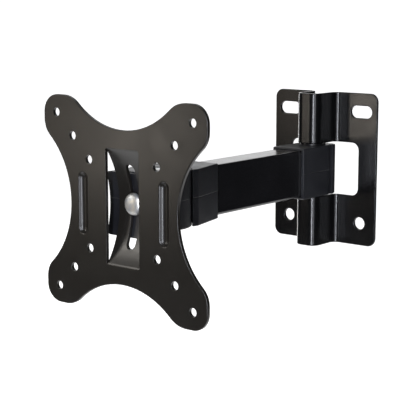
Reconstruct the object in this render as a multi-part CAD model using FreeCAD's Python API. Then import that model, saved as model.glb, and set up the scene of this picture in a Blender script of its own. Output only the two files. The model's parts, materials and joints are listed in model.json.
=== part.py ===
"""Full-motion screen wall mount: a wall plate, one swinging arm and a tilting VESA plate.

Millimetres.  The origin is the centre of the wall plate's rear face, on the wall.
+Z is up, -Y points away from the wall to the screen, and +X is to the right
for someone who faces the wall.  The arm is drawn straight out, at z = 0.
"""
import FreeCAD, Part
import math
import os

V = FreeCAD.Vector

# ---------------------------------------------------------------- driving sizes

# Wall plate, one piece of formed sheet
WALL_SHEET = 2.0
WALL_WIDTH = 80.0
WALL_HEIGHT = 100.0
WALL_CORNER = 5.5
WINDOW_WIDTH = 52.8
WINDOW_CORNER = 5.0
WALL_PIVOT_OFFSET = 16.0          # wall to the arm's pivot axis
LOOP_INSIDE = 13.0                # width between the loop's flanks
LOOP_INSIDE_CORNER = 4.0
LOOP_FOOT_BEND = 4.0              # inside radius where a flank meets the flange
FIXING_X = 28.0
SLOT_Z = 37.8
SLOT_LENGTH = 16.0
ROUND_HOLE_Z = -35.4
WALL_HOLE = 8.0
SHEET_RIM = 0.5                   # rounding of every sheet's rims under the coat

# Wall pivot: M6 hexagon bolt held in two sleeves welded in the loops
PIVOT_BOLT = 6.0
SLEEVE_LENGTH = 20.0
SLEEVE_BORE_GAP = 0.2
WELD_GAP = 0.1
WASHER_THICK = 1.6
HEX_FLATS = 10.0                  # across the flats of every M6 head and nut
HEX_HEAD = 4.0
NYLOC_HEIGHT = 6.0
BOLT_PAST_NYLOC = 1.0             # thread showing past a self-locking nut
LINER_GAP = 1.0                   # from a liner's inner end to the middle of its eye
BOLT_CHAMFER = 0.8

# Arm tube and the moulded caps on its two ends
TUBE_WIDTH = 20.0
TUBE_HEIGHT = 30.0
TUBE_WALL = 1.5
TUBE_CORNER = 2.0
ARM_PITCH = 152.0                 # wall pivot to head pivot
CAP_FIT = 0.1                     # gap between a cap and the tube in it
CAP_TOP = 1.15                    # cap thickness above and below the tube
SPLIT_LINE = 0.3                  # gap where the front cap's upper half meets its lower half
TIGHT_SPLIT = 0.06                # the same gap at the wall knuckle and the head, drawn tight
CAP_EDGE = 0.7                    # rounding of the caps' outer rims
WALL_CAP_SIDE = 1.9
WALL_CAP_REACH = 27.0             # from the wall pivot to the cap's mouth
WALL_CAP_TAIL = 12.3              # from the wall pivot to the cap's back
WALL_CAP_CORNER = 5.0
GROOVE_DEPTH = 0.8
GROOVE_RADIUS = 3.0
GROOVE_BACK = 8.3                 # from the cap's back to the middle of its groove
KNUCKLE_BUSH = 18.0
LINER_OUTSIDE = 10.0
LINER_FLANGE = 17.0
LINER_PROUD = 1.05                # flange thickness above the cap
RUNNING_GAP = 0.06                # radial gap of every turning fit
END_PLAY = 0.1                    # axial gap at each thrust face

FRONT_SLEEVE_SIDE = 1.4
FRONT_FLARE = 17.7                # half width at the front cap's shoulder
FRONT_CAP_BACK = 38.7             # from the head pivot to the cap's mouth
FRONT_SHOULDER = 13.6             # from the head pivot to the shoulder
FRONT_LIP = 9.9                   # from the head pivot to the lip
SHOULDER_ROUND = 2.4
CAP_WALL = 2.2

# Head: two moulded halves with a barrel and a saddle
BARREL_RADIUS = 18.4
SOCKET_GAP = 0.4
SADDLE_WIDTH = 43.0
SADDLE_HEIGHT = 36.0
SADDLE_WALL = 2.4
SADDLE_CORNER = 2.5
SADDLE_BACK_ROUND = 1.0
NECK_WIDTH = 22.8
TONGUE_THICK = 8.0
TONGUE_HEIGHT = 14.0
TONGUE_EYE = 14.6
EYE_RIM = 0.8                     # steel left round each liner flange
HEAD_WASHER = 16.0
NUT_WINDOW_GAP = 0.6              # above and below the tilt nut
PLUG_LENGTH = 16.0
HEAD_SWING = 40.0                 # degrees each way
SWING_ROOM = 1.5                  # extra degrees in the barrel's mouth
TONGUE_FLANGE = 1.0

# Screen plate: pressed sheet with a curved bridge.  Its reach from the head pivot is
# worked out below, from what is stacked on the tilt bolt.
PLATE_DROP = 2.5                  # plate centre and tilt axis below the arm's centre line
PLATE_SHEET = 2.0
PLATE_HALF = 60.0
WAIST_X = 39.6
WAIST_Z = 42.9
WAIST_RADIUS_X = 49.0
WAIST_RADIUS_Z = 51.0
SHOULDER_RADIUS_X = 12.5
SHOULDER_RADIUS_Z = 16.5
LOBE_CORNER = 10.3
VESA_PITCHES = (100.0, 75.0, 50.0)
VESA_HOLE = 5.0
BRIDGE_RADIUS = 56.0              # middle of the bridge's sheet
BRIDGE_DEPTH = 10.8
BRIDGE_BEND = 4.0
BRIDGE_END = 8.0                  # flat of the bridge past the opening
BRIDGE_WIDTH = 24.0
SHEAR_GAP = 0.3                   # between the bridge's edge and the plate
OPENING_HALF = 32.6
OPENING_CORNER = 1.5
TILT_SLOT_HALF = 23.7             # from the plate's centre to each end
TILT_SLOT_GAP = 0.2
RIB_X = 30.0
RIB_LENGTH = 34.8
RIB_WIDTH = 6.4
RIB_DEPTH = 2.0
RIB_RIM = 1.2                     # soft rounding where a rib leaves the plate
RIB_BACK = 0.9                    # share of the sheet left behind a pressed rib

# Tilt clamp: M6 carriage bolt
TILT_BOLT = 6.0
TILT_BOLT_DROP = 1.2              # bolt below the arm's centre line
TILT_HEAD = 12.6
TILT_HEAD_RIM = 1.0
TILT_HEAD_DOME = 2.3
TILT_WASHER = 12.0
TILT_WASHER_THICK = 1.2
PLAIN_NUT = 5.0
THREAD_PAST_NUT = 0.6
SLIDE_GAP = 0.3                   # each side of the bridge's sheet
CLAMP_ROOM = 0.3                  # from the tilt bolt's end to the tongue's sweep
HOLE_GAP = 0.3                    # radial gap of plain bolt holes

# ---------------------------------------------------------------- derived places

WALL_PIVOT_Y = -WALL_PIVOT_OFFSET
HEAD_PIVOT_Y = WALL_PIVOT_Y - ARM_PITCH
TONGUE_SWEEP = TONGUE_EYE / 2 + SOCKET_GAP
CLAMP_STACK = THREAD_PAST_NUT + PLAIN_NUT + TILT_WASHER_THICK + SADDLE_WALL + SLIDE_GAP
SCREEN_REACH = TONGUE_SWEEP + CLAMP_ROOM + CLAMP_STACK + PLATE_SHEET / 2 + BRIDGE_DEPTH
SCREEN_Y = HEAD_PIVOT_Y - SCREEN_REACH
TILT_AXIS_Y = SCREEN_Y + BRIDGE_DEPTH - BRIDGE_RADIUS
KNUCKLE_HALF = TUBE_HEIGHT / 2 + CAP_FIT + CAP_TOP
LOOP_EDGE = KNUCKLE_HALF + LINER_PROUD + END_PLAY
LOOP_HALF = LOOP_INSIDE / 2 + WALL_SHEET
LOOP_FRONT_Y = WALL_PIVOT_Y - LOOP_HALF
BOLT_R = PIVOT_BOLT / 2
SLEEVE_TOP = LOOP_EDGE + SLEEVE_LENGTH
SOCKET_RADIUS = BARREL_RADIUS + SOCKET_GAP
TUBE_FRONT_Y = HEAD_PIVOT_Y + SOCKET_RADIUS + CAP_WALL
BRIDGE_FRONT_R = BRIDGE_RADIUS - PLATE_SHEET / 2
BRIDGE_BACK_R = BRIDGE_RADIUS + PLATE_SHEET / 2
SADDLE_R = BRIDGE_BACK_R + SLIDE_GAP
SADDLE_Y = TILT_AXIS_Y + SADDLE_R
SADDLE_BACK_Y = SADDLE_Y + SADDLE_WALL
TILT_BOLT_Z = -TILT_BOLT_DROP
CHAMBER_HALF = TONGUE_HEIGHT / 2 + TONGUE_FLANGE + END_PLAY
HEAD_SEAT = KNUCKLE_HALF - HEX_HEAD - WASHER_THICK


# ---------------------------------------------------------------- small helpers

def box(x0, x1, y0, y1, z0, z1):
    """Block between two corners."""
    return Part.makeBox(x1 - x0, y1 - y0, z1 - z0, V(x0, y0, z0))


def post(radius, y, z0, z1):
    """Upright round bar on the middle plane."""
    return Part.makeCylinder(radius, z1 - z0, V(0, y, z0), V(0, 0, 1))


def rod_y(radius, x, z, y0, y1):
    """Round bar along Y."""
    return Part.makeCylinder(radius, y1 - y0, V(x, y0, z), V(0, 1, 0))


def upright(points, z0, z1):
    """Prism on a closed plan outline of (x, y) points."""
    corners = [V(x, y, z0) for x, y in points]
    wire = Part.makePolygon(corners + corners[:1])
    return Part.Face(wire).extrude(V(0, 0, z1 - z0))


def fillet_upright(solid, radius, keep):
    """Round the upright edges whose (x, y) place passes the keep test."""
    chosen = []
    for edge in solid.Edges:
        ends = [vertex.Point for vertex in edge.Vertexes]
        if len(ends) != 2:
            continue
        run = ends[1] - ends[0]
        if abs(run.z) > 0.9 * edge.Length and keep(ends[0].x, ends[0].y):
            chosen.append(edge)
    return solid.makeFillet(radius, chosen)


def rounded_block(x0, x1, y0, y1, z0, z1, radius):
    """Block with its four upright edges rounded."""
    return fillet_upright(box(x0, x1, y0, y1, z0, z1), radius, lambda x, y: True)


def rounded_plate_y(half_x, z0, z1, y0, y1, radius):
    """Plate in the XZ plane with rounded corners."""
    flat = box(-half_x, half_x, y0, y1, z0, z1)
    edges = [edge for edge in flat.Edges if abs(edge.tangentAt(edge.FirstParameter).y) > 0.9]
    return flat.makeFillet(radius, edges)


def hexagon(flats, z0, z1, y):
    """Hexagonal prism standing on the middle plane, flats facing +X and -X."""
    reach = flats / math.sqrt(3)
    points = []
    for step in range(6):
        angle = math.radians(30 + 60 * step)
        points.append((reach * math.cos(angle), y + reach * math.sin(angle)))
    return upright(points, z0, z1)


def washer(outer, bore_r, y, z0, z1):
    return post(outer / 2, y, z0, z1).cut(post(bore_r, y, z0, z1))


def round_rim(solid, z, radius):
    """Round the outer rim of a solid at one height."""
    low = z - 1e-3
    high = z + 1e-3
    face = max((f for f in solid.Faces if low < f.BoundBox.ZMin and f.BoundBox.ZMax < high),
               key=lambda f: f.Area)
    return solid.makeFillet(radius, face.OuterWire.Edges)


def clean(shape):
    """Merge split faces and return one solid."""
    merged = shape.removeSplitter()
    return merged.Solids[0] if len(merged.Solids) == 1 else merged


# ---------------------------------------------------------------- wall plate

def loop_profile():
    """Closed plan outline of the formed sheet: flange, foot bend, U-shaped loop, flange."""
    sheet = WALL_SHEET
    half = WALL_WIDTH / 2
    outer = LOOP_INSIDE_CORNER + sheet
    inner = LOOP_INSIDE_CORNER
    foot_in = LOOP_FOOT_BEND
    foot_out = LOOP_FOOT_BEND + sheet
    face_x = LOOP_HALF
    bore_x = LOOP_HALF - sheet
    front = LOOP_FRONT_Y
    bore_front = LOOP_FRONT_Y + sheet
    right = [("line", (half, 0), (half, -sheet)),
             ("line", (half, -sheet), (face_x + foot_in, -sheet)),
             ("arc", (face_x + foot_in, -sheet - foot_in), foot_in, 90, 180),
             ("line", (face_x, -sheet - foot_in), (face_x, front + outer)),
             ("arc", (face_x - outer, front + outer), outer, 0, -90)]
    bridge = [("line", (face_x - outer, front), (outer - face_x, front))]
    inside = [("line", (bore_x - inner, bore_front), (inner - bore_x, bore_front))]
    right_inside = [("arc", (bore_x - inner, bore_front + inner), inner, -90, 0),
                    ("line", (bore_x, bore_front + inner), (bore_x, -foot_out)),
                    ("arc", (bore_x + foot_out, -foot_out), foot_out, 180, 90),
                    ("line", (bore_x + foot_out, 0), (half, 0))]
    items = right + bridge + mirrored(right) + inside + right_inside + mirrored(right_inside)
    edges = []
    for item in items:
        edges.append(profile_edge(item))
    return Part.Wire(Part.__sortEdges__(edges))


def mirrored(items):
    """The same run of lines and arcs on the other side of the middle plane."""
    flipped = []
    for item in items:
        if item[0] == "line":
            flipped.append(("line", (-item[1][0], item[1][1]), (-item[2][0], item[2][1])))
        else:
            flipped.append(("arc", (-item[1][0], item[1][1]), item[2], 180 - item[3], 180 - item[4]))
    return flipped


def profile_edge(item):
    """One straight or round edge of a plan outline."""
    if item[0] == "line":
        return Part.makeLine(V(*item[1], 0), V(*item[2], 0))
    centre, radius, start, end = item[1:]
    stops = []
    for angle in (start, (start + end) / 2, end):
        turn = math.radians(angle)
        stops.append(V(centre[0] + radius * math.cos(turn), centre[1] + radius * math.sin(turn), 0))
    return Part.Arc(*stops).toShape()


def wall_plate():
    half_z = WALL_HEIGHT / 2
    formed = Part.Face(loop_profile()).extrude(V(0, 0, WALL_HEIGHT))
    formed.translate(V(0, 0, -half_z))
    deep = 2 * WALL_PIVOT_OFFSET + WALL_SHEET + LOOP_HALF
    window = rounded_plate_y(WINDOW_WIDTH / 2, -LOOP_EDGE, LOOP_EDGE, -deep, deep, WINDOW_CORNER)
    blank = rounded_plate_y(WALL_WIDTH / 2, -half_z, half_z, -deep, deep, WALL_CORNER)
    plate = formed.common(blank).cut(window)
    for side in (-1, 1):
        x = side * FIXING_X
        radius = WALL_HOLE / 2
        run = (SLOT_LENGTH - WALL_HOLE) / 2
        slot = box(x - run, x + run, -deep, deep, SLOT_Z - radius, SLOT_Z + radius)
        for end in (-run, run):
            slot = slot.fuse(rod_y(radius, x + end, SLOT_Z, -deep, deep))
        plate = plate.cut(slot)
        plate = plate.cut(rod_y(radius, x, ROUND_HOLE_Z, -deep, deep))
    plate = clean(plate)
    rims = []
    for edge in plate.Edges:
        if is_front_rim(edge, half_z):
            rims.append(edge)
    return plate.makeFillet(SHEET_RIM, rims)


def is_front_rim(edge, half_z):
    """True for the rims that face away from the wall: the outline, the window and the holes."""
    size = edge.BoundBox
    level = size.ZMax - size.ZMin < 1e-3
    across_sheet = size.XMax - size.XMin < 1e-3 and edge.Length < WALL_SHEET + 1e-3
    outline = any(abs(abs(size.ZMax) - height) < 1e-3 for height in (half_z, LOOP_EDGE))
    if level and outline and not across_sheet:
        return True
    return abs(size.YMax + WALL_SHEET) < 1e-3 and abs(size.YMin + WALL_SHEET) < 1e-3


def pivot_sleeve(sign):
    """Steel sleeve welded inside one loop; it carries the pivot bolt."""
    z0, z1 = sorted((sign * LOOP_EDGE, sign * SLEEVE_TOP))
    outside = post(LOOP_INSIDE / 2 - WELD_GAP, WALL_PIVOT_Y, z0, z1)
    return outside.cut(post(BOLT_R + SLEEVE_BORE_GAP, WALL_PIVOT_Y, z0, z1))


def hex_bolt(y, seat_z, end_z):
    """M6 hexagon bolt, head up, seated at one height and ending at another."""
    head = hexagon(HEX_FLATS, seat_z, seat_z + HEX_HEAD, y)
    corner = HEX_FLATS / math.sqrt(3)
    dome = Part.makeCone(corner + HEX_HEAD, corner - 0.9, HEX_HEAD, V(0, y, seat_z), V(0, 0, 1))
    head = head.common(dome)
    shank = post(BOLT_R, y, end_z, seat_z)
    tip = [edge for edge in shank.Edges if edge.BoundBox.ZMax < end_z + 1e-3]
    shank = shank.makeChamfer(BOLT_CHAMFER, tip)
    return clean(head.fuse(shank))


def nyloc_nut(y, seat_z):
    """M6 self-locking nut under its seat: hexagon and round nylon collar."""
    hex_part = 0.75 * NYLOC_HEIGHT
    body = hexagon(HEX_FLATS, seat_z - hex_part, seat_z, y)
    collar = post(HEX_FLATS / 2 - 0.6, y, seat_z - NYLOC_HEIGHT, seat_z - hex_part)
    rim = [edge for edge in collar.Edges if edge.BoundBox.ZMax < seat_z - NYLOC_HEIGHT + 1e-3]
    collar = collar.makeFillet(0.8, rim)
    return clean(body.fuse(collar).cut(post(BOLT_R, y, seat_z - NYLOC_HEIGHT, seat_z)))


def washer_pair(y, seat_z, outer):
    upper = washer(outer, BOLT_R + HOLE_GAP, y, seat_z, seat_z + WASHER_THICK)
    lower = washer(outer, BOLT_R + HOLE_GAP, y, -seat_z - WASHER_THICK, -seat_z)
    return Part.makeCompound([upper, lower])


# ---------------------------------------------------------------- arm

def arm_tube():
    half_w = TUBE_WIDTH / 2
    half_h = TUBE_HEIGHT / 2
    back = WALL_PIVOT_Y
    front = TUBE_FRONT_Y
    outside = rounded_plate_y(half_w, -half_h, half_h, front, back, TUBE_CORNER)
    inside = rounded_plate_y(half_w - TUBE_WALL, TUBE_WALL - half_h, half_h - TUBE_WALL,
                             front, back, TUBE_CORNER - TUBE_WALL)
    tube = outside.cut(inside)
    return clean(tube.cut(post(KNUCKLE_BUSH / 2 + WELD_GAP, WALL_PIVOT_Y, -half_h, half_h)))


def knuckle_bush():
    half = TUBE_HEIGHT / 2
    bush = post(KNUCKLE_BUSH / 2, WALL_PIVOT_Y, -half, half)
    return bush.cut(post(LINER_OUTSIDE / 2 + RUNNING_GAP, WALL_PIVOT_Y, -half, half))


def flanged_liner(y, sign, seat, inner_end, flange_thick, flange):
    """Nylon bush pushed into a steel eye from one side, its flange against the seat."""
    z0, z1 = sorted((sign * inner_end, sign * seat))
    f0, f1 = sorted((sign * seat, sign * (seat + flange_thick)))
    body = post(LINER_OUTSIDE / 2, y, z0, z1).fuse(post(flange / 2, y, f0, f1))
    bore = post(BOLT_R + RUNNING_GAP, y, min(z0, f0), max(z1, f1))
    return clean(body.cut(bore))


def halve(shape, sign, gap):
    """Keep the upper (+1) or lower (-1) half, less half of the gap at the split line."""
    size = shape.BoundBox
    z0, z1 = sorted((sign * gap / 2, sign * size.DiagonalLength))
    return clean(shape.common(box(size.XMin - 1, size.XMax + 1, size.YMin - 1, size.YMax + 1, z0, z1)))


def wall_cap():
    """Cover round the wall knuckle, both halves still joined."""
    half_x = TUBE_WIDTH / 2 + CAP_FIT + WALL_CAP_SIDE
    mouth = WALL_PIVOT_Y - WALL_CAP_REACH
    back = WALL_PIVOT_Y + WALL_CAP_TAIL
    top = KNUCKLE_HALF
    body = box(-half_x, half_x, mouth, back, -top, top)
    body = fillet_upright(body, WALL_CAP_CORNER, lambda x, y: y > WALL_PIVOT_Y)
    for side in (-1, 1):
        x = side * (half_x + GROOVE_RADIUS - GROOVE_DEPTH)
        groove_y = back - GROOVE_BACK
        body = body.cut(Part.makeCylinder(GROOVE_RADIUS, 2 * top, V(x, groove_y, -top), V(0, 0, 1)))
    for z in (-top, top):
        body = round_rim(body, z, CAP_EDGE)
    tube_x = TUBE_WIDTH / 2 + CAP_FIT
    tube_z = TUBE_HEIGHT / 2 + CAP_FIT
    body = body.cut(box(-tube_x, tube_x, mouth - 1, WALL_PIVOT_Y, -tube_z, tube_z))
    body = body.cut(post(KNUCKLE_BUSH / 2 + CAP_FIT, WALL_PIVOT_Y, -tube_z, tube_z))
    return body.cut(post(LINER_FLANGE / 2 + CAP_FIT, WALL_PIVOT_Y, -top - 1, top + 1))


def front_cap():
    """Cover round the tube's front end with the socket for the barrel, both halves joined."""
    sleeve_x = TUBE_WIDTH / 2 + CAP_FIT + FRONT_SLEEVE_SIDE
    mouth = HEAD_PIVOT_Y + FRONT_CAP_BACK
    shoulder = HEAD_PIVOT_Y + FRONT_SHOULDER
    lip = HEAD_PIVOT_Y + FRONT_LIP
    lip_x = FRONT_FLARE - 0.9
    top = KNUCKLE_HALF
    plan = [(-sleeve_x, mouth), (sleeve_x, mouth), (FRONT_FLARE, shoulder), (lip_x, lip),
            (-lip_x, lip), (-FRONT_FLARE, shoulder)]
    body = upright(plan, -top, top)
    body = fillet_upright(body, SHOULDER_ROUND, lambda x, y: abs(y - shoulder) < 0.1)
    for z in (-top, top):
        body = round_rim(body, z, CAP_EDGE)
    body = body.cut(post(SOCKET_RADIUS, HEAD_PIVOT_Y, -top, top))
    tube_x = TUBE_WIDTH / 2 + CAP_FIT
    tube_z = TUBE_HEIGHT / 2 + CAP_FIT
    body = body.cut(box(-tube_x, tube_x, TUBE_FRONT_Y, mouth + 1, -tube_z, tube_z))
    rib_y = mouth - 6.0
    taper = (FRONT_FLARE - sleeve_x) / (mouth - shoulder)
    wide_back = sleeve_x + taper * (mouth - rib_y) - CAP_WALL
    wide_front = FRONT_FLARE - CAP_WALL
    cavity = upright([(-wide_back, rib_y), (wide_back, rib_y), (wide_front, shoulder), (wide_front, lip),
                      (-wide_front, lip), (-wide_front, shoulder)], CAP_WALL - top, top - CAP_WALL)
    cavity = cavity.cut(post(SOCKET_RADIUS + CAP_WALL, HEAD_PIVOT_Y, -top, top))
    body = body.cut(cavity)
    tongue_x = TONGUE_THICK / 2 + CAP_FIT
    tongue_z = TONGUE_HEIGHT / 2 + CAP_FIT
    return body.cut(box(-tongue_x, tongue_x, HEAD_PIVOT_Y, mouth, -tongue_z, tongue_z))


def knuckle_tongue():
    """Steel plug welded in the tube's front end, with the flat tongue and its eye."""
    plug_x = TUBE_WIDTH / 2 - TUBE_WALL - WELD_GAP
    plug_z = TUBE_HEIGHT / 2 - TUBE_WALL - WELD_GAP
    half_x = TONGUE_THICK / 2
    half_z = TONGUE_HEIGHT / 2
    plug = rounded_plate_y(plug_x, -plug_z, plug_z, TUBE_FRONT_Y, TUBE_FRONT_Y + PLUG_LENGTH,
                           TUBE_CORNER - TUBE_WALL + WELD_GAP)
    bar = box(-half_x, half_x, HEAD_PIVOT_Y, TUBE_FRONT_Y, -half_z, half_z)
    eye = post(TONGUE_EYE / 2, HEAD_PIVOT_Y, -half_z, half_z)
    bore = post(LINER_OUTSIDE / 2 + RUNNING_GAP, HEAD_PIVOT_Y, -half_z, half_z)
    return clean(plug.fuse([bar, eye]).cut(bore))


# ---------------------------------------------------------------- head

def swing_room():
    """Space that the tongue sweeps in the barrel between its two limits."""
    reach = BARREL_RADIUS + 2
    half_z = TONGUE_HEIGHT / 2 + END_PLAY
    half_x = TONGUE_THICK / 2 + SOCKET_GAP
    swing = HEAD_SWING + SWING_ROOM
    axis = V(0, HEAD_PIVOT_Y, 0)
    room = post(TONGUE_SWEEP, HEAD_PIVOT_Y, -CHAMBER_HALF, CHAMBER_HALF)
    sector = Part.makeCylinder(reach, 2 * half_z, V(0, HEAD_PIVOT_Y, -half_z), V(0, 0, 1), 2 * swing)
    sector.rotate(axis, V(0, 0, 1), 90 - swing)
    room = room.fuse(sector)
    for turn in (-swing, swing):
        side = box(-half_x, half_x, HEAD_PIVOT_Y, HEAD_PIVOT_Y + reach, -half_z, half_z)
        side.rotate(axis, V(0, 0, 1), turn)
        room = room.fuse(side)
    return room


def head_body():
    """Barrel and saddle, both halves still joined."""
    top = KNUCKLE_HALF
    half_w = SADDLE_WIDTH / 2
    half_h = SADDLE_HEIGHT / 2
    barrel = post(BARREL_RADIUS, HEAD_PIVOT_Y, -top, top)
    for z in (-top, top):
        barrel = round_rim(barrel, z, CAP_EDGE)
    front = SADDLE_Y - half_h ** 2 / SADDLE_R
    saddle = rounded_plate_y(half_w, -half_h, half_h, front, SADDLE_BACK_Y, SADDLE_CORNER)
    back_rim = [edge for edge in saddle.Edges if edge.BoundBox.YMin > SADDLE_BACK_Y - 1e-3]
    saddle = saddle.makeFillet(SADDLE_BACK_ROUND, back_rim)
    saddle.translate(V(0, 0, -PLATE_DROP))
    neck_x = NECK_WIDTH / 2
    neck_z = top - CAP_EDGE
    neck = box(-neck_x, neck_x, front, HEAD_PIVOT_Y - BARREL_RADIUS / 2, -neck_z, neck_z)
    body = barrel.fuse([saddle, neck])
    drum = Part.makeCylinder(SADDLE_R, 4 * half_w, V(-2 * half_w, TILT_AXIS_Y, -PLATE_DROP), V(1, 0, 0))
    body = body.cut(drum)
    body = body.cut(swing_room())
    body = body.cut(post(BOLT_R + HOLE_GAP, HEAD_PIVOT_Y, -top, top))
    pocket_r = HEAD_WASHER / 2 + HOLE_GAP
    body = body.cut(post(pocket_r, HEAD_PIVOT_Y, HEAD_SEAT, top + 1))
    body = body.cut(post(pocket_r, HEAD_PIVOT_Y, -top - 1, -HEAD_SEAT))
    body = body.cut(rod_y(TILT_BOLT / 2 + HOLE_GAP, 0, TILT_BOLT_Z, front, HEAD_PIVOT_Y))
    window_z = HEX_FLATS / 2 + NUT_WINDOW_GAP
    window = box(-2 * half_w, 2 * half_w, SADDLE_BACK_Y, HEAD_PIVOT_Y - TONGUE_EYE / 2,
                 TILT_BOLT_Z - window_z, TILT_BOLT_Z + window_z)
    return body.cut(window)


# ---------------------------------------------------------------- tilt clamp

def tilt_bolt():
    """Carriage bolt: domed head in front of the bridge, square neck in its slot."""
    radius = TILT_HEAD / 2
    reach = radius + PLATE_DROP - TILT_BOLT_DROP
    seat = TILT_AXIS_Y + math.sqrt(BRIDGE_FRONT_R ** 2 - reach ** 2) - SLIDE_GAP
    rim_y = seat - TILT_HEAD_RIM
    ball = (radius ** 2 + TILT_HEAD_DOME ** 2) / (2 * TILT_HEAD_DOME)
    rim = rod_y(radius, 0, TILT_BOLT_Z, rim_y, seat)
    dome = Part.makeSphere(ball, V(0, rim_y + ball - TILT_HEAD_DOME, TILT_BOLT_Z))
    dome = dome.common(rod_y(radius, 0, TILT_BOLT_Z, rim_y - 2 * TILT_HEAD_DOME, rim_y))
    half = TILT_BOLT / 2
    neck = box(-half, half, seat, SADDLE_Y - SLIDE_GAP, TILT_BOLT_Z - half, TILT_BOLT_Z + half)
    end = SADDLE_BACK_Y + TILT_WASHER_THICK + PLAIN_NUT + THREAD_PAST_NUT
    shank = rod_y(half, 0, TILT_BOLT_Z, seat, end)
    return clean(rim.fuse([dome, neck, shank]))


def tilt_washer():
    back = SADDLE_BACK_Y + TILT_WASHER_THICK
    disc = rod_y(TILT_WASHER / 2, 0, TILT_BOLT_Z, SADDLE_BACK_Y, back)
    clip = HEX_FLATS / 2 + NUT_WINDOW_GAP - SLIDE_GAP
    flats = box(-TILT_WASHER, TILT_WASHER, SADDLE_BACK_Y, back, TILT_BOLT_Z - clip, TILT_BOLT_Z + clip)
    disc = disc.common(flats)
    return disc.cut(rod_y(TILT_BOLT / 2 + HOLE_GAP, 0, TILT_BOLT_Z, SADDLE_BACK_Y, back))


def tilt_nut():
    seat = SADDLE_BACK_Y + TILT_WASHER_THICK
    nut = hexagon(HEX_FLATS, 0, PLAIN_NUT, 0)
    nut = nut.cut(Part.makeCylinder(TILT_BOLT / 2, PLAIN_NUT))
    nut.rotate(V(0, 0, 0), V(0, 0, 1), 90)
    nut.rotate(V(0, 0, 0), V(1, 0, 0), -90)
    nut.translate(V(0, seat, TILT_BOLT_Z))
    return nut


# ---------------------------------------------------------------- screen plate

def plate_outline():
    """Four rounded lobes joined by hollow waists, as tangent arcs and short flats."""
    half = PLATE_HALF
    corner = half - LOBE_CORNER
    side_x = half - SHOULDER_RADIUS_X
    side_gap = WAIST_X + WAIST_RADIUS_X - side_x
    side_z = math.sqrt((WAIST_RADIUS_X + SHOULDER_RADIUS_X) ** 2 - side_gap ** 2)
    top_z = half - SHOULDER_RADIUS_Z
    top_gap = WAIST_Z + WAIST_RADIUS_Z - top_z
    top_x = math.sqrt((WAIST_RADIUS_Z + SHOULDER_RADIUS_Z) ** 2 - top_gap ** 2)
    side_turn = math.degrees(math.atan2(side_z, side_gap))
    top_turn = math.degrees(math.atan2(top_x, top_gap))
    quarter = [("arc", (WAIST_X + WAIST_RADIUS_X, 0), WAIST_RADIUS_X, 180, 180 - side_turn),
               ("arc", (side_x, side_z), SHOULDER_RADIUS_X, -side_turn, 0),
               ("line", (half, side_z), (half, corner)),
               ("arc", (corner, corner), LOBE_CORNER, 0, 90),
               ("line", (corner, half), (top_x, half)),
               ("arc", (top_x, top_z), SHOULDER_RADIUS_Z, 90, 90 + top_turn),
               ("arc", (0, WAIST_Z + WAIST_RADIUS_Z), WAIST_RADIUS_Z, -90 + top_turn, -90)]
    items = quarter + mirrored(quarter)
    edges = []
    for item in items:
        edges.append(profile_edge(item))
    upper = Part.Wire(Part.__sortEdges__(edges)).Edges
    lower = [edge.mirror(V(0, 0, 0), V(0, 1, 0)) for edge in upper]
    wire = Part.Wire(Part.__sortEdges__(list(upper) + lower))
    wire.rotate(V(0, 0, 0), V(1, 0, 0), 90)
    return wire


def bridge_side(offset):
    """Edges of one face of the bridge sheet, in the plane x = 0, from top to bottom.

    The bridge is one large arc about the tilt axis with a small bend at each end,
    so a face at some offset from the middle of the sheet has the same turns.
    """
    level = SCREEN_Y - TILT_AXIS_Y
    joined = BRIDGE_RADIUS + BRIDGE_BEND
    turn = math.acos((level + BRIDGE_BEND) / joined)
    bend_z = joined * math.sin(turn)
    bend_y = SCREEN_Y + BRIDGE_BEND
    bend_r = BRIDGE_BEND - offset
    big_r = BRIDGE_RADIUS + offset
    plane = SCREEN_Y + offset
    far = OPENING_HALF + BRIDGE_END
    edges = []
    marks = []
    for sign in (1, -1):
        flat = V(0, plane, sign * bend_z)
        half = turn / 2
        middle = V(0, bend_y - bend_r * math.cos(half), sign * (bend_z - bend_r * math.sin(half)))
        start = V(0, bend_y - bend_r * math.cos(turn), sign * (bend_z - bend_r * math.sin(turn)))
        edges.append(Part.makeLine(V(0, plane, sign * far), flat))
        edges.append(Part.Arc(flat, middle, start).toShape())
        marks.append(start)
    crown = V(0, TILT_AXIS_Y + big_r, 0)
    edges.append(Part.Arc(marks[0], crown, marks[1]).toShape())
    return edges


def bridge():
    """Curved strip with the tilt slot, in its place behind the plate's opening."""
    far = OPENING_HALF + BRIDGE_END
    half_t = PLATE_SHEET / 2
    edges = bridge_side(half_t) + bridge_side(-half_t)
    for sign in (1, -1):
        edges.append(Part.makeLine(V(0, SCREEN_Y - half_t, sign * far), V(0, SCREEN_Y + half_t, sign * far)))
    face = Part.Face(Part.Wire(Part.__sortEdges__(edges)))
    strip = face.extrude(V(BRIDGE_WIDTH, 0, 0))
    strip.translate(V(-BRIDGE_WIDTH / 2, 0, 0))
    half = TILT_BOLT / 2 + TILT_SLOT_GAP
    y0 = SCREEN_Y - 5
    y1 = SCREEN_Y + BRIDGE_DEPTH + 5
    end = TILT_SLOT_HALF - half
    slot = box(-half, half, y0, y1, -end, end)
    slot = slot.fuse(rod_y(half, 0, -end, y0, y1))
    slot = slot.fuse(rod_y(half, 0, end, y0, y1))
    strip = strip.cut(slot)
    strip.translate(V(0, 0, -PLATE_DROP))
    return strip


def pill(radius, x, y, z, run):
    """Round bar along Z with ball ends."""
    body = Part.makeCylinder(radius, run, V(x, y, z - run / 2), V(0, 0, 1))
    for end in (-run / 2, run / 2):
        body = body.fuse(Part.makeSphere(radius, V(x, y, z + end)))
    return body


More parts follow.
